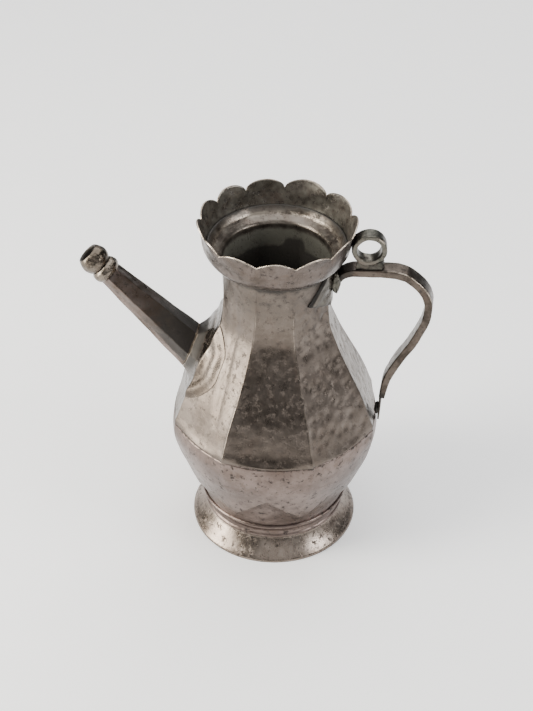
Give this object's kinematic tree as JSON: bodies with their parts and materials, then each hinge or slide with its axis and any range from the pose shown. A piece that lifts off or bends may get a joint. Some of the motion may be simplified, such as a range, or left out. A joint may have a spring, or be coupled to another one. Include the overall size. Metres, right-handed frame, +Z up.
{
  "type": "water ewer",
  "caption": "Raised metal water ewer with a faceted pear body on a flared foot, a scalloped pouring collar, a long straight ball-mouthed spout and a strap handle with a hinge eye.",
  "frame": {"origin": "on the surface that the foot stands on, below the centre of the whole ewer's length from spout to handle; the vessel's own axis is 14.5 mm from it towards +X", "axes": "+Z up, +X towards the handle, -X towards the spout, Y across the handle's plane"},
  "size_m": [0.2401, 0.1438, 0.257],
  "materials": {
    "body": "satin tinned copper, planished by hand, with dark patina and pits",
    "foot": "satin tinned copper, worn brown along the edge",
    "collar": "satin tinned copper with worn bright edges and a mottled inside",
    "spout": "smooth tinned copper, darkened",
    "spout_mouth": "cast and filed, tinned",
    "handle": "forged strap, tinned, rubbed by use",
    "eye": "grey-green patina",
    "solder": "dull grey soft solder"
  },
  "bodies": {
    "root": {"foot_skirt": "foot", "foot_band": "foot", "lower_body": "body", "upper_body": "body", "rim_collar": "collar", "spout_root_plate": "body", "spout_tube": "spout", "spout_bead": "spout_mouth", "spout_mouth": "spout_mouth", "handle_strap": "handle", "handle_tongue": "handle", "handle_neck_plate": "body", "root_solder_near": "solder", "root_solder_far": "solder", "tongue_solder": "solder", "hinge_eye": "eye", "eye_foot_inner": "solder", "eye_foot_outer": "solder"}
  },
  "joints": []
}
